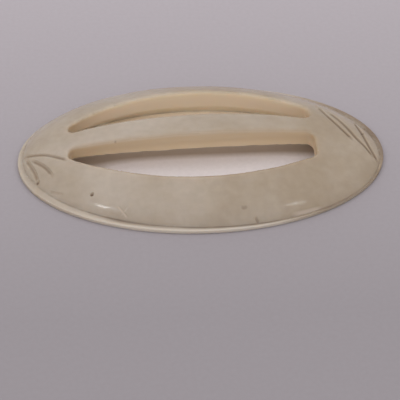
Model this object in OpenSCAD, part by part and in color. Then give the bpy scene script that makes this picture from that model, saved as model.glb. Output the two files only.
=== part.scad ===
// Oval slide buckle for a sewn belt: a domed one-piece oval with a hollow back, two curved
// slots, a centre bar left standing between them and a fan of carved cuts at each tip.
// +X runs along the oval, -Y is the front, +Z is the face, and the foot lies on z = 0.

/* [Oval] */
// Length of the oval from tip to tip
buckle_len = 76; // [70:1:90]
// Width of the oval from front to rear
buckle_w = 46.3; // [44:0.1:52]
// Height of the thin rim that lies on the table
rim_h = 0.9; // [0.6:0.1:1.6]
// Step from the edge of the rim in to the crown, on average
rim_step = 0.8; // [0.8:0.1:1.4]
// How much that step narrows at two quarters and widens at the other two
rim_vary = 0.65; // [0:0.05:0.7]
// Rise of the crown above the rim
crown_rise = 7.8; // [7:0.1:10]
// How far below the rim the sides of the crown would stand upright
crown_sink = 2; // [1:0.1:3]
// Length of the hollow back
hollow_len = 61; // [57:1:64]
// Width of the hollow back
hollow_w = 30.5; // [30:0.5:34]
// Height of the hollow back above the table
hollow_rise = 5.1; // [4:0.1:5.6]
// Offset of the hollow back along the oval
hollow_x = -1; // [-2:0.1:1]

/* [Slots] */
// Middle of the oval to the left end of the slots
slot_left = 27.3; // [24:0.1:28]
// Middle of the oval to the right end of the slots
slot_right = 22.9; // [20:0.1:27]
// Middle of the oval to the inner edge of the front rail
front_rail_y = 13.2; // [12.6:0.1:14]
// Middle of the oval to the inner edge of the rear rail
rear_rail_y = 14.2; // [13.8:0.1:15]
// Radius of the rails' inner edges, seen from above
rail_edge_r = 47; // [45:0.5:60]
// Radius of the drilled corners at the ends of the slots, where the slot is wide enough for it
slot_corner_r = 1.3; // [1:0.1:2]

/* [Bar] */
// Width of the bar at its middle
bar_w = 8.4; // [7.8:0.1:9.4]
// How far each side of the bar draws in at the left end of the slots
bar_bow = 1.8; // [1.4:0.1:2.4]
// Offset of the bar towards the rear
bar_y = 1.1; // [0.8:0.1:1.8]
// Turn of the bar's front side seen from above, in degrees
front_turn = 1.8; // [0.8:0.1:2]
// Turn of the bar's rear side seen from above, in degrees
rear_turn = 0.7; // [0.2:0.1:1.2]
// Radius of the bar's upper edges
bar_edge_r = 2.6; // [1.6:0.1:2.8]
// How much shallower that rounding is at the ends of the bar
bar_edge_fade = 0.8; // [0.5:0.1:1.3]

/* [Carving] */
// Depth of the carved cuts
cut_depth = 0.35; // [0.2:0.05:0.6]
// Width of a carved cut at its middle
cut_w = 0.7; // [0.4:0.1:1]

/* [Hidden] */
$fn = 96;

// The crown is the cap of an ellipsoid that is centred below the rim, so its sides lean in.
// The hollow is half of a smaller ellipsoid, midway between the rails.
crown_h = crown_rise + crown_sink;
crown_spread = 1 / sqrt(1 - pow(crown_sink / crown_h, 2));
crown_a = (buckle_len / 2 - rim_step) * crown_spread;
crown_b = (buckle_w / 2 - rim_step) * crown_spread;
hollow_mid = [hollow_x, (rear_rail_y - front_rail_y) / 2, 0];
buckle_h = rim_h + crown_rise;

// The step varies because the crown lies turned on the rim, in degrees.
oval_r = norm([buckle_len, buckle_w]) / sqrt(8);
crown_turn = -8 * rim_vary * oval_r / (pow(buckle_len, 2) - pow(buckle_w, 2)) * 180 / PI;

function crown_z(x, y) =
    let (u = x * cos(crown_turn) + y * sin(crown_turn), v = y * cos(crown_turn) - x * sin(crown_turn))
    rim_h - crown_sink + crown_h * sqrt(1 - pow(u / crown_a, 2) - pow(v / crown_b, 2));

// Each side of the bar is an arc, so the bar is widest at its middle.
bar_half_w = bar_w / 2;
bar_side_r = (pow(slot_left, 2) + pow(bar_bow, 2)) / (2 * bar_bow);

// A drilled corner fills at most this share of the gap that it stands in, and stands this far
// proud of the sawn walls that meet in it.
corner_share = 0.36;
corner_proud = 0.06;

// The rounding of the bar's edges starts at least this far outside the edge, which leaves a crisp
// line on each side of it, and stops short of the ends of the slots.
edge_lift = 0.1;
edge_stop = 0.7;

// Carved cuts: start, end and the bow of the cut to the right of that line, seen from above.
// Each x is counted from the tip that the fan belongs to.
left_cuts = [
    [[9.9, -4.7], [1.6, 0.5], 0.4],
    [[7.2, -7.8], [3.1, -1.8], 0.4],
    [[4.2, -7.4], [1.9, -1.2], 0.2],
];
right_cuts = [
    [[12.6, 9.8], [6.7, -1.2], 0.5],
    [[10.6, 8.3], [2.8, -4.3], 0.5],
    [[5.0, 7.0], [2.0, -4.8], 0.4],
];

// Block over the whole oval that stands on the table and cuts a shape off level.
module level(height) {
    translate([-buckle_len, -buckle_len, 0]) cube([2 * buckle_len, 2 * buckle_len, height]);
}

module ellipsoid(a, b, rise) {
    scale([a, b, rise]) sphere(r = 1);
}

module crown(inset = 0) {
    translate([0, 0, rim_h]) intersection() {
        rotate(crown_turn) translate([0, 0, -crown_sink])
            ellipsoid(crown_a - inset, crown_b - inset, crown_h - inset);
        level(crown_rise);
    }
}

module rim() {
    intersection() {
        scale([buckle_len / 2, buckle_w / 2, 1]) cylinder(r = 1, h = 4 * rim_h, center = true);
        level(rim_h);
    }
}

module hollow() {
    translate(hollow_mid) ellipsoid(hollow_len / 2, hollow_w / 2, hollow_rise);
}

// Height of an arc over its hub at a given x, for a disc of radius r.
function arc_y(hub, r, x) = hub.y + sqrt(r * r - pow(x - hub.x, 2));

// Point of a disc's edge that is nearest to a corner centred at c.
function touch(hub, r, c) = hub + (c - hub) * r / norm(c - hub);

// One slot, drawn on the rear side: it lies inside the rail's disc and outside the bar's disc,
// and its ends are straight walls between drilled corners.
module slot(rail_y, offset_y, turn) {
    rail_hub = [0, rail_y - rail_edge_r];
    bar_hub = [0, offset_y] + (bar_side_r - bar_half_w) * [sin(turn), -cos(turn)];
    ends = [-slot_left, slot_right];
    gaps = [for (x = ends) arc_y(rail_hub, rail_edge_r, x) - arc_y(bar_hub, bar_side_r, x)];
    rounds = [for (g = gaps) min(slot_corner_r, corner_share * g)];
    seats = [for (r = rounds) r - corner_proud];
    xs = [ends[0] + seats[0], ends[1] - seats[1]];
    rail_corners = [for (i = [0, 1]) [xs[i], arc_y(rail_hub, rail_edge_r - seats[i], xs[i])]];
    bar_corners = [for (i = [0, 1]) [xs[i], arc_y(bar_hub, bar_side_r + seats[i], xs[i])]];
    rail_touch = [for (c = rail_corners) touch(rail_hub, rail_edge_r, c)];
    bar_touch = [for (c = bar_corners) touch(bar_hub, bar_side_r, c)];
    difference() {
        intersection() {
            translate(rail_hub) circle(r = rail_edge_r, $fn = 240);
            polygon([
                bar_touch[0], bar_touch[1],
                [ends[1], bar_corners[1].y], [ends[1], rail_corners[1].y], rail_touch[1],
                [rail_touch[1].x, rail_y + 1], [rail_touch[0].x, rail_y + 1],
                rail_touch[0], [ends[0], rail_corners[0].y], [ends[0], bar_corners[0].y],
            ]);
        }
        translate(bar_hub) circle(r = bar_side_r, $fn = 480);
    }
    for (i = [0, 1])
        for (c = [rail_corners[i], bar_corners[i]])
            translate(c) circle(r = rounds[i]);
}

module slots() {
    translate([0, 0, -1]) linear_extrude(buckle_h + 2) {
        slot(rear_rail_y, bar_y, rear_turn);
        mirror([0, 1]) slot(front_rail_y, -bar_y, -front_turn);
    }
}

// What the rounding takes off an upper edge of the bar, with that edge at the origin.
module edge_section(lift) {
    centre = lift - bar_edge_r;
    difference() {
        translate([centre, centre]) square(bar_edge_r + 1);
        translate([centre, centre]) circle(r = bar_edge_r);
    }
}

// The rounding of one edge runs along a leaning arc. At the middle of the bar it is on the crown,
// and at the left end it has risen out of the crown by the fade. The other edge is its mirror image.
module bar_edge(side) {
    edge_y = bar_half_w + side * bar_y;
    crest = crown_z(0, side * edge_y);
    lift = edge_lift + max(0, crown_z(0, side * (edge_y - bar_edge_r)) - crest - edge_lift / 2);
    sag = crest - crown_z(-slot_left, side * (edge_y - bar_bow)) - bar_edge_fade;
    lean = atan2(bar_bow, sag);
    rise = norm([bar_bow, sag]);
    arc_r = (pow(slot_left, 2) + pow(rise, 2)) / (2 * rise);
    left = asin((slot_left - edge_stop) / arc_r);
    right = asin((slot_right - edge_stop) / arc_r);
    translate([0, bar_half_w - arc_r * sin(lean), crest - arc_r * cos(lean)])
        rotate([-90 - lean, 0, 0]) rotate(-90 - left)
            rotate_extrude(angle = left + right, $fn = 240)
                translate([arc_r, 0]) rotate(-lean) mirror([1, -1]) edge_section(lift);
}

module bar_edges() {
    translate([0, bar_y, 0]) {
        rotate(rear_turn) bar_edge(1);
        rotate(front_turn) mirror([0, 1, 0]) bar_edge(-1);
    }
}

// Crescent between two points that bows to the right of the line from start to end.
module crescent(start, end, bow) {
    span = norm(end - start);
    turn = atan2(end.y - start.y, end.x - start.x);
    outer = bow + cut_w;
    outer_r = (span * span / 4 + outer * outer) / (2 * outer);
    inner_r = (span * span / 4 + bow * bow) / (2 * bow);
    translate((start + end) / 2) rotate(turn) difference() {
        translate([0, outer_r - outer]) circle(r = outer_r, $fn = 120);
        translate([0, inner_r - bow]) circle(r = inner_r, $fn = 240);
    }
}

// Carved cuts of one tip, equally deep below the crown all along.
module cuts(list, tip_x, inward) {
    difference() {
        translate([0, 0, rim_h]) linear_extrude(crown_rise + 1)
            for (c = list)
                crescent([tip_x + inward * c[0].x, c[0].y], [tip_x + inward * c[1].x, c[1].y], c[2]);
        crown(cut_depth);
    }
}

module slide_buckle() {
    color("#b5a58d") difference() {
        union() {
            rim();
            crown();
        }
        hollow();
        slots();
        bar_edges();
        cuts(left_cuts, -buckle_len / 2, 1);
        cuts(right_cuts, buckle_len / 2, -1);
    }
}

slide_buckle();
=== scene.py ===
"""Looks of a domed oval slide buckle: one carved, polished piece of cream plastic on a pale table.

The buckle is modelled in millimetres, in the frame of the CAD part, and brought to metres at the
end. +X runs along the oval, -Y is the front, +Z is the face, and the foot lies on the table.
Finishes, lamps and the camera are in metres.
"""

import logging
import math
from collections.abc import Iterator, Sequence
from contextlib import contextmanager
from dataclasses import dataclass, replace
from enum import Enum

import bmesh
import bpy
import numpy as np
from mathutils import Matrix, Vector, noise


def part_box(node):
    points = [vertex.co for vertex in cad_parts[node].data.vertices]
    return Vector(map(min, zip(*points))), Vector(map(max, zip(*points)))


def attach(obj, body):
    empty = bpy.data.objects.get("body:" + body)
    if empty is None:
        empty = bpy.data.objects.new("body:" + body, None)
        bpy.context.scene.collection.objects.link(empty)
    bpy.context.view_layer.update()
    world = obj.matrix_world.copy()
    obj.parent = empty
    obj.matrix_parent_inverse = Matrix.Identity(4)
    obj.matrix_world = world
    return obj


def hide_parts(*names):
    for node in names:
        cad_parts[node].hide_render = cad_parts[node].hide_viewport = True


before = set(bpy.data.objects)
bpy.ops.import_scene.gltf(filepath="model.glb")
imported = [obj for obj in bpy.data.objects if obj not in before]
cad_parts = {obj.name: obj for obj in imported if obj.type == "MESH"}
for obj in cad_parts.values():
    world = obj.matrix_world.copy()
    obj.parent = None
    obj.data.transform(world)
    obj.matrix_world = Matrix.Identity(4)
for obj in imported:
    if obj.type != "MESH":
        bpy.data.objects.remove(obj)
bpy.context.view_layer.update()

MM = 0.001
NODE = "slide_buckle"

Socket = bpy.types.NodeSocket
Colour = tuple[float, float, float]
Value = Socket | float | Colour
Pair = tuple[float, float]

log = logging.getLogger("slide_buckle")


class Side(Enum):
    """Which side of the bar something lies on."""

    FRONT = -1
    REAR = 1


class Trace(Enum):
    """What the mesh tells its finish about each point."""

    # Sawn walls, which the finish also paints lighter; dirt together with painted shade; painted light on
    # the rim and painted glints on scratches.
    SAWN = "sawn"
    DIRT = "dirt"
    RIM = "rim"


# Modelling helpers


def pick_only(obj: bpy.types.Object) -> None:
    """Makes an object the only selected one, and the active one.

    Args:
        obj: the object to pick.
    """
    bpy.ops.object.select_all(action="DESELECT")
    obj.select_set(True)
    bpy.context.view_layer.objects.active = obj


def vertex_values(obj: bpy.types.Object, name: str) -> np.ndarray:
    """A vector of every vertex.

    Args:
        obj: the mesh object.
        name: co for the places, normal for the normals.

    Returns:
        Three numbers for each vertex.
    """
    values = np.empty(3 * len(obj.data.vertices))
    obj.data.vertices.foreach_get(name, values)
    return values.reshape(-1, 3)


def settle(obj: bpy.types.Object) -> None:
    """Puts vertices and faces in an order that follows from their places alone.

    Edit mode and booleans leave them in an order that changes from run to run, and what rounds or
    merges them later would then come out a little different each time.

    Args:
        obj: the mesh object.
    """
    places = vertex_values(obj, "co")
    order = np.lexsort(places.T)
    rank = np.argsort(order).tolist()
    faces = []
    for polygon in obj.data.polygons:
        corners = [rank[index] for index in polygon.vertices]
        first = corners.index(min(corners))
        faces.append(corners[first:] + corners[:first])
    obj.data.clear_geometry()
    obj.data.from_pydata(places[order].tolist(), [], sorted(faces))


@contextmanager
def editing(obj: bpy.types.Object) -> Iterator[bmesh.types.BMesh]:
    """Edit mode on obj, with nothing selected at the start and the mesh settled at the end.

    Args:
        obj: the mesh object to edit.

    Returns:
        The edit mesh, for selecting by place or normal.
    """
    pick_only(obj)
    bpy.ops.object.mode_set(mode="EDIT")
    bpy.ops.mesh.select_all(action="DESELECT")
    mesh = bmesh.from_edit_mesh(obj.data)
    yield mesh
    bpy.ops.object.mode_set(mode="OBJECT")
    settle(obj)


def face_outwards() -> None:
    """Turns all faces of the mesh that is being edited outwards."""
    bpy.ops.mesh.select_all(action="SELECT")
    bpy.ops.mesh.normals_make_consistent(inside=False)


def apply_modifier(obj: bpy.types.Object, kind: str, **settings: object) -> None:
    """Adds a modifier with these settings and applies it.

    Args:
        obj: the object that gets the modifier.
        kind: Blender's name for the kind of modifier.
        settings: the modifier's own settings.
    """
    pick_only(obj)
    modifier = obj.modifiers.new(kind.lower(), kind)
    for name, value in settings.items():
        setattr(modifier, name, value)
    bpy.ops.object.modifier_apply(modifier=modifier.name)


def combine(obj: bpy.types.Object, tool: bpy.types.Object, operation: str) -> None:
    """Joins or cuts obj with a tool solid, which is used up.

    Args:
        obj: the object that is changed.
        tool: the other solid.
        operation: UNION, DIFFERENCE or INTERSECT.
    """
    apply_modifier(obj, "BOOLEAN", object=tool, operation=operation, solver="EXACT")
    bpy.data.objects.remove(tool)
    settle(obj)


def flat_face(name: str, corners: Sequence[Vector]) -> bpy.types.Object:
    """A single flat face.

    Args:
        name: name of the new object.
        corners: the corners of the face in order.

    Returns:
        The new object.
    """
    bpy.ops.object.select_all(action="DESELECT")
    bpy.ops.mesh.primitive_circle_add(vertices=len(corners), radius=1, fill_type="NGON")
    obj = bpy.context.object
    obj.name = name
    for vertex, corner in zip(obj.data.vertices, corners):
        vertex.co = corner
    return obj


def prism(name: str, outline: list[Vector], low: float, high: float) -> bpy.types.Object:
    """An upright prism over a closed outline.

    Args:
        name: name of the new object.
        outline: points of the outline in order, seen from above.
        low: height of its lower face.
        high: height of its upper face.

    Returns:
        The prism, closed and facing outwards.
    """
    obj = flat_face(name, [Vector((point.x, point.y, low)) for point in outline])
    with editing(obj):
        bpy.ops.mesh.select_all(action="SELECT")
        bpy.ops.mesh.extrude_region_move(TRANSFORM_OT_translate={"value": (0, 0, high - low)})
        face_outwards()
    return obj


def arc_points(hub: Vector, radius: float, start: float, end: float, steps: int) -> list[Vector]:
    """Points on an arc seen from above, both ends included.

    Args:
        hub: centre of the arc.
        radius: its radius.
        start: its first angle in radians.
        end: its last angle in radians.
        steps: how many chords it is divided into.

    Returns:
        The points in order.
    """
    angles = [start + (end - start) * i / steps for i in range(steps + 1)]
    return [hub + radius * Vector((math.cos(a), math.sin(a))) for a in angles]


def arc_y(hub: Vector, radius: float, x: float) -> float:
    """The y of an arc over its hub at x, seen from above."""
    return hub.y + math.sqrt(radius**2 - (x - hub.x) ** 2)


def angle_of(hub: Vector, point: Vector) -> float:
    """Direction from hub to point, in radians."""
    return math.atan2(point.y - hub.y, point.x - hub.x)


def lumps(places: np.ndarray, span: float) -> np.ndarray:
    """Soft noise at each place, from about -1 to 1, in lumps of that span."""
    return np.array([noise.noise(Vector(place) / span) for place in places])


def ramp(values: np.ndarray, start: float, end: float) -> np.ndarray:
    """Values brought to 0 at the start and 1 at the end, and kept between the two."""
    return np.clip((values - start) / (end - start), 0, 1)


# Finishes


@dataclass(frozen=True)
class Grain:
    """A pattern of soft noise.

    Its lumps have a size in metres and finer layers of detail, are scaled along axes that are turned
    about Z, and show the stretch of values that the span gives.
    """

    size: float
    span: Pair = (0.0, 1.0)
    detail: float = 2
    stretch: tuple[float, float, float] = (1, 1, 1)
    turn: float = 0


class Graph:
    """The nodes of one material, made in a few words."""

    # Places of the colour sockets among all sockets of a Mix node
    MIX_FIRST = 6
    MIX_SECOND = 7
    MIX_RESULT = 2

    def __init__(self, name: str) -> None:
        """Starts a material that reads places on its object.

        Args:
            name: name of the material.
        """
        self.material = bpy.data.materials.new(name)
        self.material.use_nodes = True
        self.tree = self.material.node_tree
        self.shader = self.tree.nodes["Principled BSDF"]
        self.place = self.node("ShaderNodeTexCoord").outputs["Object"]

    def node(self, kind: str, **settings: object) -> bpy.types.Node:
        """A new node.

        Args:
            kind: Blender's name for the kind of node.
            settings: the node's own settings.

        Returns:
            The node.
        """
        made = self.tree.nodes.new(kind)
        for name, value in settings.items():
            setattr(made, name, value)
        return made

    def put(self, value: Value, socket: Socket) -> None:
        """Links another socket to this one, or sets it to a plain value.

        Args:
            value: the other socket, a number, or a colour or other tuple.
            socket: the socket that takes it.
        """
        if isinstance(value, Socket):
            self.tree.links.new(value, socket)
        elif isinstance(value, tuple) and socket.type == "RGBA":
            socket.default_value = (*value, 1)
        else:
            socket.default_value = value

    def dress(self, **values: Value) -> None:
        """Sets the shader's sockets.

        Args:
            values: a value for each socket, by its name with underscores for spaces.
        """
        for name, value in values.items():
            self.put(value, self.shader.inputs[name.replace("_", " ")])

    def axes(self) -> list[Socket]:
        """X, Y and Z of the place on the object.

        Returns:
            A socket for each.
        """
        split = self.node("ShaderNodeSeparateXYZ")
        self.put(self.place, split.inputs["Vector"])
        return list(split.outputs)

    def noise(self, grain: Grain) -> Socket:
        """Soft noise from 0 to 1.

        Args:
            grain: the pattern.

        Returns:
            The socket that carries it.
        """
        mapping = self.node("ShaderNodeMapping")
        self.put(self.place, mapping.inputs["Vector"])
        self.put((0, 0, grain.turn), mapping.inputs["Rotation"])
        self.put(grain.stretch, mapping.inputs["Scale"])
        made = self.node("ShaderNodeTexNoise")
        self.put(mapping.outputs["Vector"], made.inputs["Vector"])
        self.put(1 / grain.size, made.inputs["Scale"])
        self.put(grain.detail, made.inputs["Detail"])
        return made.outputs["Fac"]

    def pattern(self, grain: Grain) -> Socket:
        """Soft noise that runs from 0 to 1 over the span of its pattern."""
        return self.fit(self.noise(grain), *grain.span)

    def attribute(self, trace: Trace) -> Socket:
        """A number stored on the mesh."""
        return self.node("ShaderNodeAttribute", attribute_name=trace.value).outputs["Fac"]

    def fit(self, value: Value, low: float, high: float, to_low: float = 0, to_high: float = 1) -> Socket:
        """A value brought from one range to another, and kept inside it.

        Args:
            value: the value.
            low: where the first range starts.
            high: where it ends.
            to_low: where the second range starts.
            to_high: where it ends.

        Returns:
            The socket that carries the new value.
        """
        made = self.node("ShaderNodeMapRange")
        entries = {"Value": value, "From Min": low, "From Max": high, "To Min": to_low, "To Max": to_high}
        for name, entry in entries.items():
            self.put(entry, made.inputs[name])
        return made.outputs["Result"]

    def math(self, operation: str, *values: Value) -> Socket:
        """One sum of up to three values.

        Args:
            operation: Blender's name for the sum.
            values: what goes into it.

        Returns:
            The socket that carries the result.
        """
        made = self.node("ShaderNodeMath", operation=operation)
        for value, socket in zip(values, made.inputs):
            self.put(value, socket)
        return made.outputs["Value"]

    def mix(self, share: Value, first: Value, second: Value) -> Socket:
        """Two colours mixed.

        Args:
            share: how much of the second colour shows, from 0 to 1.
            first: the first colour.
            second: the second colour.

        Returns:
            The socket that carries the mix.
        """
        made = self.node("ShaderNodeMix", data_type="RGBA")
        self.put(share, made.inputs["Factor"])
        self.put(first, made.inputs[self.MIX_FIRST])
        self.put(second, made.inputs[self.MIX_SECOND])
        return made.outputs[self.MIX_RESULT]

    def bump(self, height: Value, distance: float, strength: float, under: Value | None = None) -> Socket:
        """A bumped normal.

        Args:
            height: the height of the bumps, from 0 to 1.
            distance: what a height of 1 stands for, in metres.
            strength: how strongly the bumps show.
            under: a normal that is bumped already.

        Returns:
            The socket that carries the normal.
        """
        made = self.node("ShaderNodeBump")
        self.put(height, made.inputs["Height"])
        self.put(distance, made.inputs["Distance"])
        self.put(strength, made.inputs["Strength"])
        if under is not None:
            self.put(under, made.inputs["Normal"])
        return made.outputs["Normal"]


def srgb(*code: float) -> Colour:
    """A colour of 0 to 255 codes as the linear values that a shader takes."""
    shares = (c / 255 for c in code)
    return tuple(s / 12.92 if s <= 0.04045 else ((s + 0.055) / 1.055) ** 2.4 for s in shares)


@dataclass(frozen=True)
class CreamPlastic:
    """Old cream plastic: polished face, warmer sawn walls with painted light and shade, grime in the
    carving, painted shade in the crease and painted light on the rim.
    """

    light: Colour = srgb(202, 190, 176)
    dark: Colour = srgb(175, 157, 133)
    # Sawn walls: painted shade at their top edge, a warmer colour with painted light lower down, and more
    # painted light on the rear walls.
    edge: Colour = srgb(190, 166, 136)
    sawn: Colour = srgb(224, 204, 174)
    rear_painted_light: Colour = srgb(234, 220, 198)
    # Painted light on the lit rim, and painted glints on scratches that catch the light.
    rim: Colour = srgb(214, 200, 186)
    # A dark colour for flecks and dirt, also used for painted shade.
    dirt: Colour = srgb(96, 68, 40)

    # The tone gets darker towards +X, as painted shade on the side away from the light, and cloudy.
    painted_shade_x: Pair = (-0.035, 0.035)
    cloud: Grain = Grain(0.014, (0.35, 0.65), detail=3)
    cloud_share: float = 0.5
    fleck: Grain = Grain(0.0016, (0.3, 0.7))
    fleck_share: float = 0.09

    # Traces start just over the foot. Walls go from painted shade at the edge to painted light further
    # down, and get more painted light towards the rear, where the bar shades them.
    trace_z: Pair = (0.00001, 0.0001)
    cut_span: Pair = (0.0, 0.2)
    wall_span: Pair = (0.15, 0.8)
    rear_painted_light_y: Pair = (0.005, 0.011)
    dirt_and_shade_span: Pair = (0.05, 0.9)
    dirt_and_shade_share: float = 0.78

    # Roughness of the polish, and what scratches, saw cuts and dirt add to it
    gloss: Pair = (0.1, 0.18)
    scratch: Grain = Grain(0.0011, (0.52, 0.66), stretch=(0.06, 1, 1), turn=0.5)
    scratch_rough: float = 0.08
    dull: float = 0.25

    # Depth and strength of the bumps
    wave: Grain = Grain(0.0045)
    wave_bump: Pair = (0.00006, 0.6)
    scratch_bump: Pair = (0.00002, 0.2)

    ior: float = 1.53
    glow: float = 0.6
    glow_depth: float = 0.0025
    glow_reach: tuple[float, float, float] = (1.0, 0.8, 0.6)

    def material(self) -> bpy.types.Material:
        """The finish as a material.

        Returns:
            The material, which reads the traces that the mesh carries.
        """
        g = Graph("cream_plastic")
        x, y, z = g.axes()
        above = g.fit(z, *self.trace_z)
        sawn, dirt, rim = (g.math("MULTIPLY", g.attribute(trace), above) for trace in Trace)
        cut = g.fit(sawn, *self.cut_span)
        cloud = g.pattern(self.cloud)
        scratch = g.pattern(self.scratch)

        # Sawn walls: painted shade at the top edge, painted light lower down and more of it towards the
        # rear.
        wall = g.mix(g.fit(sawn, *self.wall_span), self.edge, self.sawn)
        wall = g.mix(g.fit(y, *self.rear_painted_light_y), wall, self.rear_painted_light)
        # Painted shade: the tone darkens towards +X, away from the light, and is also cloudy.
        painted_shade = g.fit(x, *self.painted_shade_x, 0, 1 - self.cloud_share)
        colour = g.mix(g.math("MULTIPLY_ADD", cloud, self.cloud_share, painted_shade), self.light, self.dark)
        colour = g.mix(g.math("MULTIPLY", g.pattern(self.fleck), self.fleck_share), colour, self.dirt)
        # Painted light on the rim and painted glints on scratches.
        colour = g.mix(rim, colour, self.rim)
        colour = g.mix(cut, colour, wall)
        # Dirt in the carving, and painted shade in the crease, on the rim at the right end and along the
        # front rail's inner edge.
        colour = g.mix(g.fit(dirt, *self.dirt_and_shade_span, 0, self.dirt_and_shade_share), colour, self.dirt)

        rough = g.fit(cloud, 0, 1, *self.gloss)
        rough = g.math("MULTIPLY_ADD", scratch, self.scratch_rough, rough)
        rough = g.math("ADD", rough, g.fit(g.math("ADD", cut, dirt), 0, 1, 0, self.dull))
        waves = g.bump(g.noise(self.wave), *self.wave_bump)
        g.dress(Base_Color=colour, Roughness=rough, Normal=g.bump(scratch, *self.scratch_bump, waves))
        g.dress(IOR=self.ior, Subsurface_Weight=self.glow)
        g.dress(Subsurface_Scale=self.glow_depth, Subsurface_Radius=self.glow_reach)
        return g.material


@dataclass(frozen=True)
class Patch:
    """A rounded patch of the table with a soft edge, where light or shade is painted."""

    middle: Pair
    half: Pair
    powers: Pair = (4, 2)
    edge: Pair = (1.0, 0.6)

    def share(self, graph: Graph) -> Socket:
        """How much of the patch shows.

        Args:
            graph: the table's material.

        Returns:
            The socket that carries it, from 0 outside to 1.
        """
        out = []
        for along, middle, half, power in zip(graph.axes(), self.middle, self.half, self.powers):
            off = graph.math("MULTIPLY_ADD", along, 1 / half, -middle / half)
            out.append(graph.math("POWER", graph.math("ABSOLUTE", off), power))
        return graph.fit(graph.math("ADD", *out), *self.edge)


@dataclass(frozen=True)
class PaleTable:
    """Smooth pale table that gets lighter to the rear and under the buckle, as painted light, with painted
    shade under the bar.
    """

    # Near and far tones: painted light that brightens the table towards the rear.
    near: Colour = srgb(164, 158, 163)
    far: Colour = srgb(195, 188, 194)
    # A painted pool of light on the table under the front slot.
    under: Colour = srgb(252, 247, 250)
    # Painted shade of the bar on the table under the hollow, then painted glow under its rear, for light
    # through the plastic.
    shade: Colour = srgb(186, 171, 158)
    glow: Colour = srgb(253, 240, 220)
    speck: Colour = srgb(120, 112, 112)

    # The table gets lighter over these stretches of Y, as painted light: in the open, and from painted
    # shade to painted glow under the buckle.
    painted_light_y: Pair = (-0.045, 0.06)
    painted_shade_to_glow_y: Pair = (0.004, 0.012)
    # Patch of painted shade and glow under the hollow.
    hollow: Patch = Patch((-0.002, 0.001), (0.031, 0.0185))
    # Patch of the painted pool of light.
    painted_light_pool: Patch = Patch((0.003, -0.0066), (0.031, 0.0081))

    specks: Grain = Grain(0.0009, (0.3, 0.7), detail=3)
    speck_share: float = 0.06
    tooth: Grain = Grain(0.0006, detail=3)
    tooth_bump: Pair = (0.00002, 0.3)
    roughness: float = 0.75

    def material(self) -> bpy.types.Material:
        """The finish as a material.

        Returns:
            The material of the table.
        """
        g = Graph("pale_table")
        _, y, _ = g.axes()
        # Under the hollow: painted shade at the front, painted glow towards the rear.
        inside = g.mix(g.fit(y, *self.painted_shade_to_glow_y), self.shade, self.glow)
        # Painted light: lighter towards the rear.
        colour = g.mix(g.fit(y, *self.painted_light_y), self.near, self.far)
        colour = g.mix(self.hollow.share(g), colour, inside)
        # The painted pool of light under the front slot.
        colour = g.mix(self.painted_light_pool.share(g), colour, self.under)
        colour = g.mix(g.math("MULTIPLY", g.pattern(self.specks), self.speck_share), colour, self.speck)
        tooth = g.bump(g.noise(self.tooth), *self.tooth_bump)
        g.dress(Base_Color=colour, Roughness=self.roughness, Normal=tooth)
        return g.material


# The buckle's sub-assemblies


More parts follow.
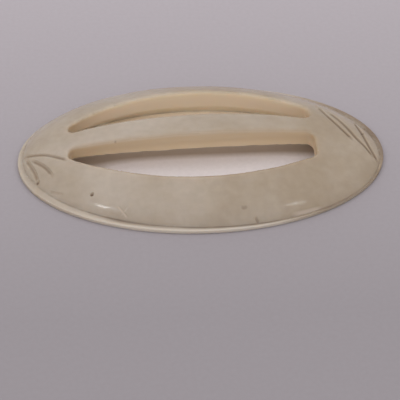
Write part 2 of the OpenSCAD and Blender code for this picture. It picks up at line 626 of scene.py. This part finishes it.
@dataclass
class Crown:
    """The domed shell: the cap of an ellipsoid centred below the rim, hollowed from below."""

    half_len: float
    half_w: float
    height: float
    rim_h: float = 0.9
    rim_step: float = 0.8
    rim_vary: float = 0.65
    sink: float = 2.0
    hollow_half: tuple[float, float, float] = (30.5, 15.25, 5.1)
    hollow_mid: Pair = (-1.0, 0.5)
    skirt_z: float = -1.0
    face_from: float = 0.05
    least_slope: float = 1e-6
    segments: int = 256

    @property
    def foot(self) -> np.ndarray:
        """Half length and half width of the crown where it meets the rim."""
        return np.array([self.half_len, self.half_w]) - self.rim_step

    @property
    def half(self) -> np.ndarray:
        """Half axes of the crown's ellipsoid."""
        rise = self.height - self.rim_h + self.sink
        return np.array([*(self.foot / math.sqrt(1 - (self.sink / rise) ** 2)), rise])

    @property
    def turn(self) -> float:
        """Turn of the crown on the rim, which makes the step vary."""
        spread = math.hypot(self.half_len, self.half_w) * math.sqrt(2)
        return -self.rim_vary * spread / (self.half_len**2 - self.half_w**2)

    def along(self, x: np.ndarray, y: np.ndarray) -> tuple[np.ndarray, np.ndarray]:
        """x and y as seen along the turned crown."""
        cos, sin = math.cos(self.turn), math.sin(self.turn)
        return x * cos + y * sin, y * cos - x * sin

    def z(self, x: np.ndarray, y: np.ndarray) -> np.ndarray:
        """Height of the crown's face over the table.

        Args:
            x: places along the oval.
            y: places across it.

        Returns:
            A height for each place, that of the ellipsoid's middle outside it.
        """
        u, v = self.along(x, y)
        a, b, rise = self.half
        return self.rim_h - self.sink + rise * np.sqrt(np.maximum(0, 1 - (u / a) ** 2 - (v / b) ** 2))

    def out(self, places: np.ndarray) -> np.ndarray:
        """How far out each place lies, where 1 is the crease between crown and rim."""
        u, v = self.along(places[:, 0], places[:, 1])
        return np.hypot(u / self.foot[0], v / self.foot[1])

    def crease_gap(self, places: np.ndarray) -> np.ndarray:
        """How far each place lies from the crease between crown and rim.

        Args:
            places: x, y and z of each place.

        Returns:
            Distances, true near the crease.
        """
        u, v = self.along(places[:, 0], places[:, 1])
        out = self.out(places)
        slope = np.hypot(u / self.foot[0] ** 2, v / self.foot[1] ** 2)
        return np.hypot((out - 1) * out / np.maximum(slope, self.least_slope), places[:, 2] - self.rim_h)

    def on_face(self, places: np.ndarray, slack: float) -> np.ndarray:
        """How closely each place lies on the crown's face.

        Args:
            places: x, y and z of each place.
            slack: how far from the face a place may lie.

        Returns:
            Shares: 1 up to half the slack, and 0 from one and a half times the slack.
        """
        off = np.abs(places[:, 2] - self.z(places[:, 0], places[:, 1]))
        above = places[:, 2] > self.rim_h + self.face_from
        return np.clip(1.5 - off / slack, 0, 1) * above

    def ellipsoid(
        self, name: str, half: Sequence[float], middle: Sequence[float], turn: float = 0
    ) -> bpy.types.Object:
        """A sphere stretched to these half axes.

        Args:
            name: name of the new object.
            half: its half length, half width and half height.
            middle: its centre.
            turn: its turn seen from above, in radians.

        Returns:
            The ellipsoid, with its size and place applied.
        """
        bpy.ops.object.select_all(action="DESELECT")
        bpy.ops.mesh.primitive_uv_sphere_add(
            segments=self.segments, ring_count=self.segments // 2, radius=1, location=middle
        )
        obj = bpy.context.object
        obj.name = name
        bpy.ops.transform.resize(value=half)
        obj.rotation_euler.z = turn
        bpy.ops.object.transform_apply(location=True, rotation=True, scale=True)
        return obj

    def build(self) -> bpy.types.Object:
        """Models the dome and hollows it.

        Returns:
            The dome, with a skirt that goes down through the rim and the table.
        """
        dome = self.ellipsoid("dome", self.half, (0, 0, self.rim_h - self.sink), self.turn)
        with editing(dome):
            bpy.ops.mesh.select_all(action="SELECT")
            bpy.ops.mesh.bisect(plane_co=(0, 0, self.rim_h), plane_no=(0, 0, 1), clear_inner=True)
            bpy.ops.mesh.select_all(action="DESELECT")
            bpy.ops.mesh.select_non_manifold()
            bpy.ops.mesh.extrude_region_move(
                TRANSFORM_OT_translate={"value": (0, 0, self.skirt_z - self.rim_h)}
            )
            bpy.ops.mesh.edge_face_add()
            face_outwards()
        hollow = self.ellipsoid("hollow", self.hollow_half, (*self.hollow_mid, 0))
        combine(dome, hollow, "DIFFERENCE")
        return dome


@dataclass
class Rim:
    """The thin rim that the buckle lies on, a small step wider than the crown."""

    crown: Crown
    top_round: float = 0.2
    foot_round: float = 0.1
    ledge: Pair = (1.2, 2.2)
    inner: float = 3.2
    inner_h: float = 0.5
    low_z: float = -0.5
    round_angles: tuple[float, ...] = (math.pi / 2, math.pi / 3, math.pi / 6, 0)
    segments: int = 320

    def profile(self) -> list[Pair]:
        """The rim's section, up its outer side, in over the ledge and down its inner side.

        Returns:
            Insets from the edge and heights over the table.
        """
        h, top, foot = self.crown.rim_h, self.top_round, self.foot_round
        outer = [(foot, self.low_z), (foot, 0), (0, foot)]
        rounds = [(top * (1 - math.sin(t)), h - top * (1 - math.cos(t))) for t in self.round_angles]
        ledge = [(inset, h) for inset in self.ledge]
        return [*outer, *rounds, *ledge, (self.inner, self.inner_h), (self.inner, self.low_z)]

    def build(self) -> bpy.types.Object:
        """Models the rim.

        Returns:
            A closed ring that goes down through the table.
        """
        bpy.ops.object.select_all(action="DESELECT")
        bpy.ops.mesh.primitive_circle_add(vertices=self.segments, radius=1, fill_type="NOTHING")
        rim = bpy.context.object
        rim.name = "rim"
        half = np.array([self.crown.half_len, self.crown.half_w])
        (inset, z), *rest = self.profile()
        with editing(rim):
            bpy.ops.mesh.select_all(action="SELECT")
            bpy.ops.transform.resize(value=(*(half - inset), 1))
            bpy.ops.transform.translate(value=(0, 0, z))
            for next_inset, next_z in rest:
                bpy.ops.mesh.extrude_edges_move(TRANSFORM_OT_translate={"value": (0, 0, next_z - z)})
                bpy.ops.transform.resize(
                    value=(*((half - next_inset) / (half - inset)), 1), center_override=(0, 0, 0)
                )
                inset, z = next_inset, next_z
            bpy.ops.mesh.select_all(action="DESELECT")
            bpy.ops.mesh.select_non_manifold()
            bpy.ops.mesh.bridge_edge_loops()
            face_outwards()
        return rim


@dataclass
class Slot:
    """One curved slot, inside the rail's arc and outside the bar's arc."""

    side: Side
    rail_y: float
    turn: float
    left: float = 27.3
    right: float = 22.9
    rail_r: float = 47.0
    corner_r: float = 1.2
    corner_share: float = 0.36
    bar_w: float = 8.4
    bar_bow: float = 1.8
    bar_y: float = 1.1
    lip_end: float = 1.0
    cut_below: float = 1.0
    cut_above: float = 2.0
    side_steps: int = 120
    corner_steps: int = 10

    @property
    def bar_r(self) -> float:
        """Radius of the bar's side."""
        return (self.left**2 + self.bar_bow**2) / (2 * self.bar_bow)

    def corners(
        self, rail_hub: Vector, bar_hub: Vector, x: float, inward: int
    ) -> tuple[Vector, Vector, float]:
        """The rounded corners at one end of the slot.

        Args:
            rail_hub: centre of the rail's arc.
            bar_hub: centre of the bar's arc.
            x: where the slot ends.
            inward: 1 if the slot lies to the right of that end, -1 if to the left.

        Returns:
            The centres of the corners at the rail and at the bar, and their radius.
        """
        gap = arc_y(rail_hub, self.rail_r, x) - arc_y(bar_hub, self.bar_r, x)
        radius = min(self.corner_r, self.corner_share * gap)
        middle = x + inward * radius
        at_rail = Vector((middle, arc_y(rail_hub, self.rail_r - radius, middle)))
        at_bar = Vector((middle, arc_y(bar_hub, self.bar_r + radius, middle)))
        return at_rail, at_bar, radius

    def outline(self) -> list[Vector]:
        """The slot's outline seen from above, with rounded corners.

        Returns:
            Its points in order, drawn on the rear side and mirrored for the front one.
        """
        sign = self.side.value
        turn, offset = sign * self.turn, sign * self.bar_y
        reach = self.bar_r - self.bar_w / 2
        rail_hub = Vector((0, self.rail_y - self.rail_r))
        bar_hub = Vector((reach * math.sin(turn), offset - reach * math.cos(turn)))
        left_rail, left_bar, left_r = self.corners(rail_hub, bar_hub, -self.left, 1)
        right_rail, right_bar, right_r = self.corners(rail_hub, bar_hub, self.right, -1)
        bar_from, bar_to = angle_of(bar_hub, left_bar), angle_of(bar_hub, right_bar)
        rail_from, rail_to = angle_of(rail_hub, right_rail), angle_of(rail_hub, left_rail)
        # Anticlockwise: along the bar to the right, up the right end, back along the rail.
        points = arc_points(bar_hub, self.bar_r, bar_from, bar_to, self.side_steps)
        points += arc_points(right_bar, right_r, bar_to - math.pi, 0, self.corner_steps)[1:]
        points += arc_points(right_rail, right_r, 0, rail_from, self.corner_steps)
        points += arc_points(rail_hub, self.rail_r, rail_from, rail_to, self.side_steps)[1:]
        points += arc_points(left_rail, left_r, rail_to, math.pi, self.corner_steps)[1:]
        points += arc_points(left_bar, left_r, math.pi, bar_from + math.pi, self.corner_steps)[:-1]
        return [Vector((point.x, sign * point.y)) for point in points]

    def rail_gap(self, places: np.ndarray) -> np.ndarray:
        """How far each place lies outside the rail's inner edge, seen from above.

        Args:
            places: x, y and z of each place.

        Returns:
            Distances, endless for places off that edge.
        """
        x, y = places[:, 0], self.side.value * places[:, 1]
        gap = np.hypot(x, y - self.rail_y + self.rail_r) - self.rail_r
        along = (x > self.lip_end - self.left) & (x < self.right - self.lip_end) & (y > 0)
        return np.where(along, gap, np.inf)

    def cutter(self, height: float) -> bpy.types.Object:
        """The solid that cuts this slot through a buckle of that height."""
        name = f"slot_{self.side.name.lower()}"
        return prism(name, self.outline(), -self.cut_below, height + self.cut_above)


@dataclass
class BarEdge:
    """What rounds one upper edge of the bar: a section swept on an arc that follows the crown."""

    slot: Slot
    crown: Crown
    radius: float = 2.6
    fade: float = 0.8
    lift: float = 0.1
    stop: float = 0.7
    margin: float = 1.0
    steps: int = 120
    quarter_steps: int = 16
    merge_gap: float = 1e-4

    @property
    def edge_y(self) -> float:
        """Middle of the oval to the edge, counted towards the slot."""
        return self.slot.bar_w / 2 + self.slot.side.value * self.slot.bar_y

    def crown_z(self, x: float, y: float) -> float:
        """Height of the crown at x, y, with y counted towards the slot."""
        return float(self.crown.z(x, self.slot.side.value * y))

    def section(self, crest: float) -> list[Vector]:
        """The section that is swept, with the bar's edge at its origin.

        Args:
            crest: height of the crown over the middle of the edge.

        Returns:
            Its corners in order, lifted where the crown slopes up from the edge.
        """
        inner = self.crown_z(0, self.edge_y - self.radius)
        middle = self.lift + max(0, inner - crest - self.lift / 2) - self.radius
        quarter = arc_points(Vector((middle, middle)), self.radius, 0, math.pi / 2, self.quarter_steps)
        far = middle + self.radius + self.margin
        return [*quarter, Vector((middle, far)), Vector((far, far)), Vector((far, middle))]

    def cutter(self) -> bpy.types.Object:
        """The solid that is cut off the bar's edge.

        Returns:
            The swept section, closed and facing outwards.
        """
        slot = self.slot
        half_w = slot.bar_w / 2
        crest = self.crown_z(0, self.edge_y)
        sag = crest - self.crown_z(-slot.left, self.edge_y - slot.bar_bow) - self.fade
        lean = math.atan2(slot.bar_bow, sag)
        rise = math.hypot(slot.bar_bow, sag)
        arc_r = (slot.left**2 + rise**2) / (2 * rise)
        hub = Vector((0, half_w - arc_r * math.sin(lean), crest - arc_r * math.cos(lean)))
        axis = Vector((0, math.cos(lean), -math.sin(lean)))
        left = math.asin((slot.left - self.stop) / arc_r)
        right = math.asin((slot.right - self.stop) / arc_r)
        back = Matrix.Rotation(-left, 3, axis)
        corners = [Vector((0, half_w + point.x, crest + point.y)) for point in self.section(crest)]
        name = f"bar_edge_{slot.side.name.lower()}"
        obj = flat_face(name, [hub + back @ (corner - hub) for corner in corners])
        with editing(obj):
            bpy.ops.mesh.select_all(action="SELECT")
            bpy.ops.mesh.spin(steps=self.steps, angle=-left - right, center=hub, axis=axis)
            bpy.ops.mesh.select_all(action="SELECT")
            bpy.ops.mesh.remove_doubles(threshold=self.merge_gap)
            bpy.ops.mesh.select_all(action="DESELECT")
            bpy.ops.mesh.select_non_manifold()
            bpy.ops.mesh.edge_face_add()
            face_outwards()
        obj.scale.y = slot.side.value
        obj.location.y = slot.bar_y
        obj.rotation_euler.z = slot.turn
        pick_only(obj)
        bpy.ops.object.transform_apply(location=True, rotation=True, scale=True)
        with editing(obj):
            face_outwards()
        return obj


@dataclass(frozen=True)
class Stroke:
    """A carved line on the crown: a few points seen from above.

    It runs out at both ends, over the length of its taper, and is stained by grime or given a painted
    glint.
    """

    points: tuple[Pair, ...]
    width: float
    depth: float
    stain: float = 0.75
    taper: float = 1.6
    # Share of painted glint.
    pale: float = 0.0
    tip: float = 0.15
    corner: float = 0.25
    corner_cuts: int = 3

    def widened(self, reach: float) -> "Stroke":
        """The same line with a greater width."""
        return replace(self, width=self.width + reach)

    def path(self) -> np.ndarray:
        """The line with its corners cut off a few times.

        Returns:
            A smooth row of points.
        """
        path = np.array(self.points)
        for _ in range(self.corner_cuts):
            early = path[:-1] * (1 - self.corner) + path[1:] * self.corner
            late = path[:-1] * self.corner + path[1:] * (1 - self.corner)
            path = np.concatenate([path[:1], np.stack([early, late], 1).reshape(-1, 2), path[-1:]])
        return path

    def share(self, places: np.ndarray) -> np.ndarray:
        """How much of the full depth is cut at each place.

        Args:
            places: x and y of each place.

        Returns:
            A share from 0, off the line, to 1, at its deepest.
        """
        path = self.path()
        steps = np.diff(path, axis=0)
        lengths = np.linalg.norm(steps, axis=1)
        starts = np.concatenate([[0], np.cumsum(lengths)])
        best = np.full(len(places), np.inf)
        run = np.zeros(len(places))
        for point, step, length, start in zip(path, steps, lengths, starts):
            t = np.clip((places - point) @ step / length**2, 0, 1)
            gap = np.linalg.norm(places - point - t[:, None] * step, axis=1)
            nearer = gap < best
            best[nearer] = gap[nearer]
            run[nearer] = start + t[nearer] * length
        ends = np.minimum(run, starts[-1] - run) / self.taper
        across = np.clip(1 - (2 * best / self.width) ** 2, 0, 1)
        return across * np.clip(self.tip + ends, 0, 1)


@dataclass(frozen=True)
class Pit:
    """A small hole in the crown's face."""

    place: Pair
    radius: float
    depth: float
    stain: float = 1.0
    # Share of painted glint.
    pale: float = 0.0

    def widened(self, reach: float) -> "Pit":
        """The same hole with a greater radius."""
        return replace(self, radius=self.radius + reach)

    def share(self, places: np.ndarray) -> np.ndarray:
        """How much of the full depth is missing at each place, from 0 to 1."""
        gap = np.linalg.norm(places - np.array(self.place), axis=1)
        return np.clip(1 - (gap / self.radius) ** 2, 0, 1)


LEFT_FAN = (
    Stroke(
        ((-37.0, 0.8), (-34.9, -0.4), (-32.2, -1.7), (-29.9, -3.4), (-27.4, -5.2)),
        width=0.85, depth=0.22, stain=0.55,
    ),
    Stroke(((-35.2, -1.5), (-33.7, -3.2), (-32.2, -5.0), (-30.6, -7.8)), width=0.9, depth=0.24, stain=0.55),
    Stroke(((-36.4, -0.3), (-35.3, -2.8), (-34.3, -5.4), (-33.7, -7.7)), width=0.8, depth=0.22, stain=0.5),
)
RIGHT_FAN = (
    Stroke(((25.2, 10.6), (26.5, 6.9), (28.5, 3.2), (30.2, 0.3), (31.4, -1.2)), width=0.95, depth=0.3),
    Stroke(
        ((27.2, 8.7), (28.8, 6.4), (30.5, 3.3), (32.1, -0.2), (33.6, -1.9), (35.4, -4.6)),
        width=1.0, depth=0.3,
    ),
    Stroke(((32.8, 7.4), (33.2, 5.1), (33.8, 2.2), (34.7, -1.6), (36.3, -5.3)), width=0.95, depth=0.3),
)
# The first three scratches carry painted glints where the light catches them; the others are stained.
SCRATCHES = (
    Stroke(
        ((-17.9, -17.2), (-16.9, -18.3), (-16.1, -19.2)),
        width=0.45, depth=0.07, stain=0.0, taper=0.5, pale=0.55,
    ),
    Stroke(
        ((-15.9, -17.7), (-16.6, -18.2), (-17.3, -18.7)),
        width=0.4, depth=0.05, stain=0.0, taper=0.5, pale=0.35,
    ),
    Stroke(
        ((16.6, -20.1), (19.1, -19.4), (20.8, -18.8), (22.9, -18.1)),
        width=0.7, depth=0.03, stain=0.0, taper=1.5, pale=0.7,
    ),
    Stroke(((6.1, -19.7), (6.8, -19.9), (7.6, -19.6)), width=0.7, depth=0.1, stain=0.45, taper=0.5),
    Stroke(((9.0, -21.0), (9.3, -21.5), (9.8, -21.7)), width=0.7, depth=0.1, stain=0.45, taper=0.4),
    Stroke(((-31.5, -10.4), (-30.0, -11.4), (-28.6, -12.1)), width=0.5, depth=0.08, stain=0.2, taper=0.6),
)
PITS = (
    Pit((-22.9, -14.0), radius=0.45, depth=0.3),
    Pit((-33.8, -7.5), radius=0.45, depth=0.28),
    Pit((33.9, 2.5), radius=0.6, depth=0.4),
    Pit((-17.8, -2.2), radius=0.35, depth=0.06, stain=0.6),
    Pit((21.1, 3.8), radius=0.3, depth=0.06, stain=0.3),
    Pit((-12.6, 11.2), radius=0.35, depth=0.08, stain=0.35),
    Pit((12.1, 15.2), radius=0.4, depth=0.1, stain=0.45),
)


@dataclass
class Face:
    """The crown's finished face: hand-polished, carved at both tips and a little pitted.

    A wave has a height and a span. The faces near the marks are divided once for each reach.
    """

    crown: Crown
    marks: tuple[Stroke | Pit, ...]
    waves: tuple[Pair, ...] = ((0.05, 7.0), (0.012, 1.8))
    reaches: tuple[float, ...] = (0.7, 0.3)
    divide_slack: float = 0.3
    work_slack: float = 0.4

    def divide(self, body: bpy.types.Object, reach: float) -> None:
        """Divides the faces near the marks, so that the marks come out crisp.

        Args:
            body: the buckle in millimetres.
            reach: how much wider than the marks the divided stretch is.
        """
        with editing(body) as mesh:
            mids = np.array([face.calc_center_median() for face in mesh.faces])
            near = self.crown.on_face(mids, self.divide_slack) > 0
            hit = np.zeros(len(mids), bool)
            for mark in self.marks:
                hit[near] |= mark.widened(reach).share(mids[near, :2]) > 0
            mesh.faces.ensure_lookup_table()
            for index in np.flatnonzero(hit):
                mesh.faces[index].select = True
            bmesh.update_edit_mesh(body.data)
            bpy.ops.mesh.subdivide(number_cuts=1, quadcorner="INNERVERT")

    def work(self, body: bpy.types.Object) -> None:
        """Gives the face soft waves and cuts the marks into it, never outwards.

        Args:
            body: the buckle in millimetres.
        """
        for reach in self.reaches:
            self.divide(body, reach)
        places = vertex_values(body, "co")
        normals = vertex_values(body, "normal")
        sunk = np.zeros(len(places))
        for mark in self.marks:
            sunk = np.maximum(sunk, mark.depth * mark.share(places[:, :2]))
        wave = sum(size * lumps(places, span) for size, span in self.waves)
        wave -= sum(size for size, _ in self.waves)
        outer = self.crown.on_face(places, self.work_slack)
        places += normals * (outer * (wave - sunk))[:, None]
        body.data.vertices.foreach_set("co", places.ravel())
        body.data.update()


@dataclass
class Patina:
    """Where the plastic is sawn, dirty, or painted with shade or light, kept on the mesh as shares from 0
    to 1.

    A pair holds the start and the end of a ramp. Places counted outwards are 1 at the crease.
    """

    crown: Crown
    lip: Slot
    marks: tuple[Stroke | Pit, ...]

    # Towards the left end the crease gets less painted shade and dirt, and the rim less painted light; at
    # the right end, away from the light, the rim gets painted shade instead of painted light.
    left_x: Pair = (-16.0, -32.0)
    right_x: Pair = (12.0, 34.0)
    sawn_depth: Pair = (0.1, 3.1)
    sawn_out: Pair = (0.995, 0.97)
    rim_out: Pair = (1.0, 1 + 1 / 60)
    rim_rise: float = 0.1
    rim_left: float = 0.9
    rim_painted_shade: float = 0.75

    # Painted shade and dirt in the crease lie in patches.
    crease_w: float = 0.2
    crease_dirt_and_shade: float = 0.85
    crease_left: float = 0.55
    patch_span: float = 4.0
    patch_mean: float = 0.75
    patch_swing: float = 0.5
    patch_least: float = 0.3

    # A line of painted shade runs along the inner edge of the front rail.
    lip_gap: float = 0.3
    lip_w: float = 0.45
    lip_painted_shade: float = 0.4

    mark_slack: float = 1.0
    mark_power: float = 1.5

    def sawn(self, places: np.ndarray) -> np.ndarray:
        """How far down a sawn wall each place lies, which the finish also paints lighter.

        Args:
            places: x, y and z of each place.

        Returns:
            Shares from 0, on the face, to 1.
        """
        depth = self.crown.z(places[:, 0], places[:, 1]) - places[:, 2]
        return ramp(depth, *self.sawn_depth) * ramp(self.crown.out(places), *self.sawn_out)

    def crease(self, places: np.ndarray, left: np.ndarray) -> np.ndarray:
        """How much grime and painted shade of the crease each place shows.

        Args:
            places: x, y and z of each place.
            left: how far each place belongs to the left end.

        Returns:
            Shares from 0 to 1.
        """
        patches = self.patch_mean + self.patch_swing * lumps(places, self.patch_span)
        near = np.exp(-((self.crown.crease_gap(places) / self.crease_w) ** 2))
        return (self.crease_dirt_and_shade - self.crease_left * left) * near * np.clip(patches, self.patch_least, 1)

    def dirt_shade_and_rim_light(self, places: np.ndarray) -> tuple[np.ndarray, np.ndarray]:
        """How much grime and painted shade each place shows, and how much painted light of the rim or
        painted glint of a scratch.

        Args:
            places: x, y and z of each place.

        Returns:
            Shares of grime and painted shade, and shares of the rim's colour with painted light and glints,
            from 0 to 1.
        """
        crown = self.crown
        left = ramp(places[:, 0], *self.left_x)
        right = ramp(places[:, 0], *self.right_x)
        rim = ramp(crown.out(places), *self.rim_out)
        rim *= ramp(places[:, 2], crown.rim_h + self.rim_rise, crown.rim_h)
        # Painted shade along the inner edge of the front rail.
        lip = self.lip_painted_shade * ramp(np.abs(self.lip.rail_gap(places) - self.lip_gap), self.lip_w, 0)
        # Painted shade in the crease, on the rim at the right end and along the front rail's inner edge;
        # the crease also holds dirt.
        dirt = np.maximum.reduce([self.crease(places, left), self.rim_painted_shade * right * rim, lip])
        # Painted light on the rim, weaker towards the left end and gone at the right end.
        rim = np.maximum(rim * (1 - self.rim_left * left - right), 0)
        outer = crown.on_face(places, self.mark_slack)
        for mark in self.marks:
            share = outer * mark.share(places[:, :2])
            dirt = np.maximum(dirt, mark.stain * share**self.mark_power)
            # Painted glints on scratches that catch the light.
            rim = np.maximum(rim, mark.pale * share)
        return dirt, rim

    def store(self, body: bpy.types.Object) -> None:
        """Stores the traces on the body.

        Args:
            body: the buckle in millimetres.
        """
        places = vertex_values(body, "co")
        dirt, rim = self.dirt_shade_and_rim_light(places)
        traces = {Trace.SAWN: self.sawn(places), Trace.DIRT: dirt, Trace.RIM: rim}
        for trace, values in traces.items():
            layer = body.data.attributes.new(trace.value, "FLOAT", "POINT")
            layer.data.foreach_set("value", values.astype(np.float32))
            log.info("%s: %.3f on average", trace.value, values.mean())


@dataclass
class Buckle:
    """The whole buckle."""

    crown: Crown
    rim: Rim
    slots: list[Slot]
    face: Face
    patina: Patina
    octree_depth: int = 8
    octree_scale: float = 0.99
    grid: float = 0.33
    grid_turn: float = math.radians(45)
    smoothing: float = 0.5
    first_smooth: int = 16
    last_smooth: int = 5
    merge_gap: float = 0.015
    sliver: float = 0.01
    shade_angle: float = math.radians(40)

    def spin(self, body: bpy.types.Object, angle: float) -> None:
        """Turns the body about Z.

        Args:
            body: the buckle.
            angle: the turn in radians.
        """
        pick_only(body)
        body.rotation_euler.z = angle
        bpy.ops.object.transform_apply(location=False, rotation=True, scale=False)

    def even_out(self, body: bpy.types.Object) -> None:
        """Gives the body even faces, and softens its edges.

        The body is turned meanwhile, because edges that run along the grid come out uneven.

        Args:
            body: the buckle in millimetres, without its rim.
        """
        self.spin(body, self.grid_turn)
        apply_modifier(
            body, "REMESH", mode="SHARP", octree_depth=self.octree_depth, scale=self.octree_scale
        )
        apply_modifier(body, "SMOOTH", factor=self.smoothing, iterations=self.first_smooth)
        apply_modifier(body, "REMESH", mode="VOXEL", voxel_size=self.grid)
        apply_modifier(body, "SMOOTH", factor=self.smoothing, iterations=self.last_smooth)
        self.spin(body, -self.grid_turn)

    def shape(self) -> bpy.types.Object:
        """Models the shape, without marks.

        Returns:
            The crown with its slots, bar and rim, cut off level at the table.
        """
        body = self.crown.build()
        log.info("dome: %d faces", len(body.data.polygons))
        for slot in self.slots:
            combine(body, slot.cutter(self.crown.height), "DIFFERENCE")
            combine(body, BarEdge(slot, self.crown).cutter(), "DIFFERENCE")
        log.info("slots: %d faces", len(body.data.polygons))
        self.even_out(body)
        log.info("evened out: %d faces", len(body.data.polygons))
        combine(body, self.rim.build(), "UNION")
        with editing(body):
            bpy.ops.mesh.select_all(action="SELECT")
            bpy.ops.mesh.bisect(plane_co=(0, 0, 0), plane_no=(0, 0, 1), clear_inner=True, use_fill=True)
            face_outwards()
        log.info("with rim: %d faces", len(body.data.polygons))
        return body

    def clean(self, body: bpy.types.Object) -> None:
        """Merges slivers and leaves triangles only.

        Args:
            body: the buckle in millimetres.
        """
        with editing(body):
            bpy.ops.mesh.select_all(action="SELECT")
            bpy.ops.mesh.remove_doubles(threshold=self.merge_gap)
            bpy.ops.mesh.dissolve_degenerate(threshold=self.sliver)
            bpy.ops.mesh.select_all(action="SELECT")
            bpy.ops.mesh.quads_convert_to_tris()
            face_outwards()

    def build(self) -> bpy.types.Object:
        """Models the buckle and brings it to metres.

        Returns:
            The finished mesh, with the traces that its finish reads.
        """
        body = self.shape()
        self.face.work(body)
        self.clean(body)
        self.patina.store(body)
        body.name = "carved_buckle"
        body.data.name = body.name
        pick_only(body)
        body.scale = (MM, MM, MM)
        bpy.ops.object.transform_apply(location=True, rotation=True, scale=True)
        bpy.ops.object.shade_smooth_by_angle(angle=self.shade_angle)
        return body

    def dress(self, body: bpy.types.Object) -> None:
        """Gives the body its finish."""
        body.data.materials.clear()
        body.data.materials.append(CreamPlastic().material())


# The studio


@dataclass(frozen=True)
class Lamp:
    """A soft oblong lamp, aimed at the buckle."""

    name: str
    place: tuple[float, float, float]
    size: Pair
    watts: float

    def hang(self) -> None:
        """Adds the lamp to the scene."""
        data = bpy.data.lights.new(self.name, "AREA")
        data.shape = "RECTANGLE"
        data.energy = self.watts
        data.size, data.size_y = self.size
        obj = bpy.data.objects.new(self.name, data)
        bpy.context.scene.collection.objects.link(obj)
        obj.location = self.place
        obj.rotation_euler = (-Vector(self.place)).to_track_quat("-Z", "Y").to_euler()


@dataclass
class Studio:
    """The table, the lamps, the even room and the camera.

    The camera aims at a place on the table that lies at a given pixel of a square picture. The room
    has one strength below and one above.
    """

    camera_dist: float = 0.3
    camera_up: float = math.radians(40)
    camera_side: float = math.radians(-4.96)
    camera_roll: float = math.radians(1.0)
    camera_near: float = 0.01
    sensor_mm: float = 36
    focal_px: float = 1439
    image_px: int = 400
    aim: tuple[float, float, float] = (-0.00017, 0.00056, 0)
    aim_px: Pair = (199.7, 156.3)
    table_size: float = 3
    key: Lamp = Lamp("key", (-0.53, -0.44, 0.62), (0.08, 0.03), 0.25)
    side: Lamp = Lamp("side", (0.44, -0.39, 0.64), (0.06, 0.04), 0.1)
    room: Pair = (0.46, 1.04)
    room_colour: Colour = (0.97, 0.95, 0.95)

    def floor(self) -> None:
        """Lays the pale table."""
        bpy.ops.object.select_all(action="DESELECT")
        bpy.ops.mesh.primitive_plane_add(size=self.table_size)
        floor = bpy.context.object
        floor.name = "table"
        floor.data.materials.append(PaleTable().material())

    def lights(self) -> None:
        """Key lamp from the front left, a weaker one from the front right, and an even room."""
        self.key.hang()
        self.side.hang()
        world = bpy.data.worlds.new("room")
        bpy.context.scene.world = world
        world.use_nodes = True
        tree = world.node_tree
        place = tree.nodes.new("ShaderNodeTexCoord").outputs["Generated"]
        split = tree.nodes.new("ShaderNodeSeparateXYZ")
        tree.links.new(place, split.inputs["Vector"])
        fade = tree.nodes.new("ShaderNodeMapRange")
        tree.links.new(split.outputs["Z"], fade.inputs["Value"])
        fade.inputs["To Min"].default_value, fade.inputs["To Max"].default_value = self.room
        back = tree.nodes["Background"]
        tree.links.new(fade.outputs["Result"], back.inputs["Strength"])
        back.inputs["Color"].default_value = (*self.room_colour, 1)

    def camera(self) -> None:
        """Sets up a camera at the photograph's angle."""
        up, side = self.camera_up, self.camera_side
        back = Vector((math.sin(side) * math.cos(up), -math.cos(side) * math.cos(up), math.sin(up)))
        right = Vector((math.cos(side), math.sin(side), 0))
        above = back.cross(right)
        middle = self.image_px / 2
        across = (self.aim_px[0] - middle) / self.focal_px
        below = (middle - self.aim_px[1]) / self.focal_px
        ahead = (-back - right * across - above * below).normalized()
        right = (right - ahead * right.dot(ahead)).normalized()
        above = right.cross(ahead)
        cos, sin = math.cos(self.camera_roll), math.sin(self.camera_roll)
        right, above = right * cos + above * sin, above * cos - right * sin
        data = bpy.data.cameras.new("camera")
        data.sensor_width = self.sensor_mm
        data.lens = self.focal_px * data.sensor_width / self.image_px
        data.clip_start = self.camera_near
        obj = bpy.data.objects.new("camera", data)
        bpy.context.scene.collection.objects.link(obj)
        turn = Matrix((right, above, -ahead)).transposed().to_4x4()
        obj.matrix_world = Matrix.Translation(Vector(self.aim) + back * self.camera_dist) @ turn
        bpy.context.scene.camera = obj


def main() -> None:
    """Builds the buckle and its studio."""
    logging.basicConfig(level=logging.INFO)
    bpy.context.scene.view_settings.view_transform = "Standard"
    low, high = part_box(NODE)
    crown = Crown(half_len=min(high.x, -low.x) / MM, half_w=min(high.y, -low.y) / MM, height=high.z / MM)
    front = Slot(Side.FRONT, rail_y=13.2, turn=math.radians(1.8))
    rear = Slot(Side.REAR, rail_y=14.2, turn=math.radians(0.7))
    marks = LEFT_FAN + RIGHT_FAN + SCRATCHES + PITS
    buckle = Buckle(crown, Rim(crown), [front, rear], Face(crown, marks), Patina(crown, front, marks))
    piece = buckle.build()
    buckle.dress(piece)
    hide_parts(NODE)
    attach(piece, "root")
    piece.data.calc_loop_triangles()
    log.info("%s: %d triangles", piece.name, len(piece.data.loop_triangles))
    studio = Studio()
    studio.floor()
    studio.lights()
    studio.camera()


if __name__ == "__main__":
    main()
